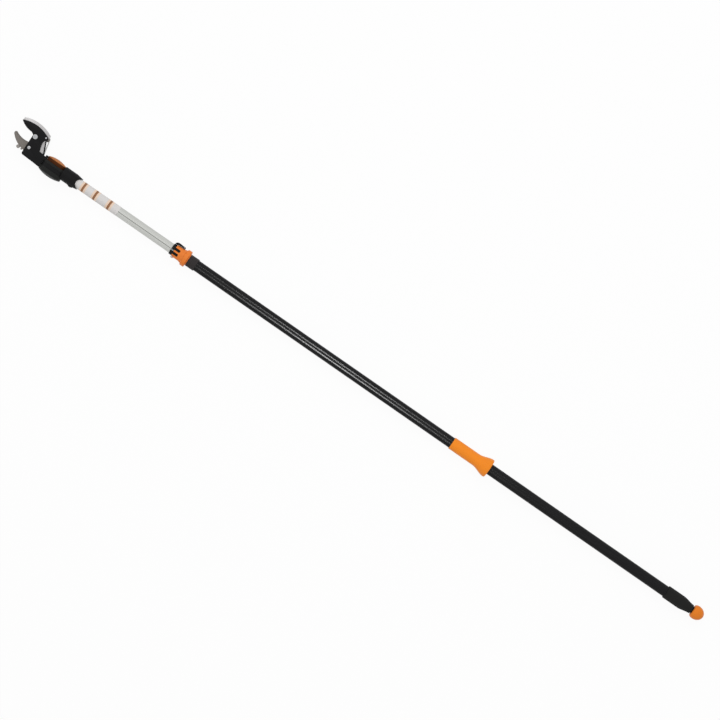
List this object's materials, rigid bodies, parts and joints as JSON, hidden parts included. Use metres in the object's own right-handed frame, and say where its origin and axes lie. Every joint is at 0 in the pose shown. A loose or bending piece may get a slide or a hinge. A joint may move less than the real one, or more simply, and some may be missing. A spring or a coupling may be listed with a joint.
{
  "type": "tree pruner pole",
  "caption": "Telescopic tree pruner pole with a tilting bypass cutting head, a blade closed by a cord, a sliding grip and a pull knob at the lower end.",
  "frame": {"origin": "on the pole's axis, midway along the bare stretch of outer tube between ferrule and grip", "axes": "+X along the pole towards the end knob, +Y across the jaws towards the hook, +Z square to the jaws towards the side with the head cover"},
  "size_m": [2.4094, 0.1122, 0.0714],
  "materials": {
    "black_plastic": "satin",
    "orange_plastic": "semi-gloss",
    "black_tube": "black anodised",
    "silver_tube": "natural anodised",
    "label_film": "printed film with plain stripes",
    "hook_steel": "ground",
    "blade_steel": "ground",
    "bright_steel": "zinc plated",
    "black_steel": "blackened",
    "grey_plastic": "moulded",
    "pale_plastic": "moulded",
    "cord_fibre": "laid",
    "black_rubber": "matt"
  },
  "bodies": {
    "handle": {"outer_tube": "black_tube", "ferrule": "black_plastic", "clamp_collar": "orange_plastic", "clamp_collet": "black_plastic", "pinch_screw": "bright_steel", "lever_pin": "bright_steel", "end_grip": "black_rubber", "end_plug": "grey_plastic", "knob_seat": "black_plastic"},
    "upper_pole": {"inner_tube": "silver_tube", "label_wrap": "label_film", "slide_bush": "pale_plastic", "pole_socket": "black_plastic", "socket_screw": "black_steel"},
    "head": {"hook_plate": "hook_steel", "head_cover": "black_plastic", "neck_frame": "black_plastic", "pivot_bolt": "bright_steel", "pivot_nut": "bright_steel", "cover_rivets": "bright_steel", "neck_screws": "bright_steel", "guide_pin": "bright_steel", "cord_falls": "cord_fibre", "return_spring": "bright_steel", "tilt_bolt": "bright_steel"},
    "blade": {"blade": "blade_steel", "blade_stud": "bright_steel", "tail_pin": "bright_steel"},
    "tail_pulley": {"tail_pulley": "grey_plastic"},
    "guide_pulley": {"guide_pulley": "grey_plastic"},
    "tilt_pulley": {"tilt_pulley": "grey_plastic"},
    "tilt_knob": {"tilt_knob": "orange_plastic"},
    "lock_lever": {"lock_lever": "black_plastic"},
    "lock_pad": {"lock_pad": "grey_plastic"},
    "grip": {"slide_grip": "orange_plastic", "grip_carrier": "grey_plastic", "grip_key": "bright_steel", "pull_cord": "cord_fibre"},
    "end_knob": {"end_knob": "orange_plastic", "knob_cord": "cord_fibre"}
  },
  "joints": [
    {"name": "pole_extend", "type": "slide", "parent": "handle", "child": "upper_pole", "axis": [-1, 0, 0], "range_m": [0, 1.4]},
    {"name": "head_tilt", "type": "hinge", "parent": "upper_pole", "child": "head", "pos_m": [-0.9396, 0, 0], "axis": [0, 1, 0], "range_deg": [-115, 115]},
    {"name": "blade_swing", "type": "hinge", "parent": "head", "child": "blade", "pos_m": [-1.0314, 0.0395, 0], "axis": [0, 0, -1], "range_deg": [0, 58], "stiffness_Nm_per_rad": 0.3, "deforming": ["cord_falls"]},
    {"name": "tail_pulley_spin", "type": "hinge", "parent": "blade", "child": "tail_pulley", "pos_m": [-1.0014, 0.0532, 0], "axis": [0, 0, 1], "continuous": true},
    {"name": "guide_pulley_spin", "type": "hinge", "parent": "head", "child": "guide_pulley", "pos_m": [-0.9896, 0.001, 0], "axis": [0, 0, 1], "continuous": true},
    {"name": "tilt_pulley_spin", "type": "hinge", "parent": "head", "child": "tilt_pulley", "pos_m": [-0.9396, 0, 0], "axis": [0, 1, 0], "continuous": true},
    {"name": "tilt_knob_turn", "type": "hinge", "parent": "head", "child": "tilt_knob", "pos_m": [-0.9396, 0, 0], "axis": [0, 1, 0], "range_deg": [0, 180]},
    {"name": "lever_flip", "type": "hinge", "parent": "handle", "child": "lock_lever", "pos_m": [-0.501, 0.0218, 0], "axis": [0, 0, -1], "range_deg": [0, 110]},
    {"name": "pad_lift", "type": "slide", "parent": "handle", "child": "lock_pad", "axis": [0, 1, 0], "range_m": [0, 0.0005]},
    {"name": "grip_pull", "type": "slide", "parent": "handle", "child": "grip", "axis": [1, 0, 0], "range_m": [0, 0.12]},
    {"name": "knob_pull", "type": "slide", "parent": "handle", "child": "end_knob", "axis": [1, 0, 0], "range_m": [0, 0.3], "stiffness_N_per_m": 30, "springref_m": -0.02}
  ],
  "couplings": [
    {"joint": "blade_swing", "follows": "grip_pull", "rad_per_m": 8.43},
    {"joint": "pad_lift", "follows": "lever_flip", "m_per_rad": 0.00026}
  ]
}
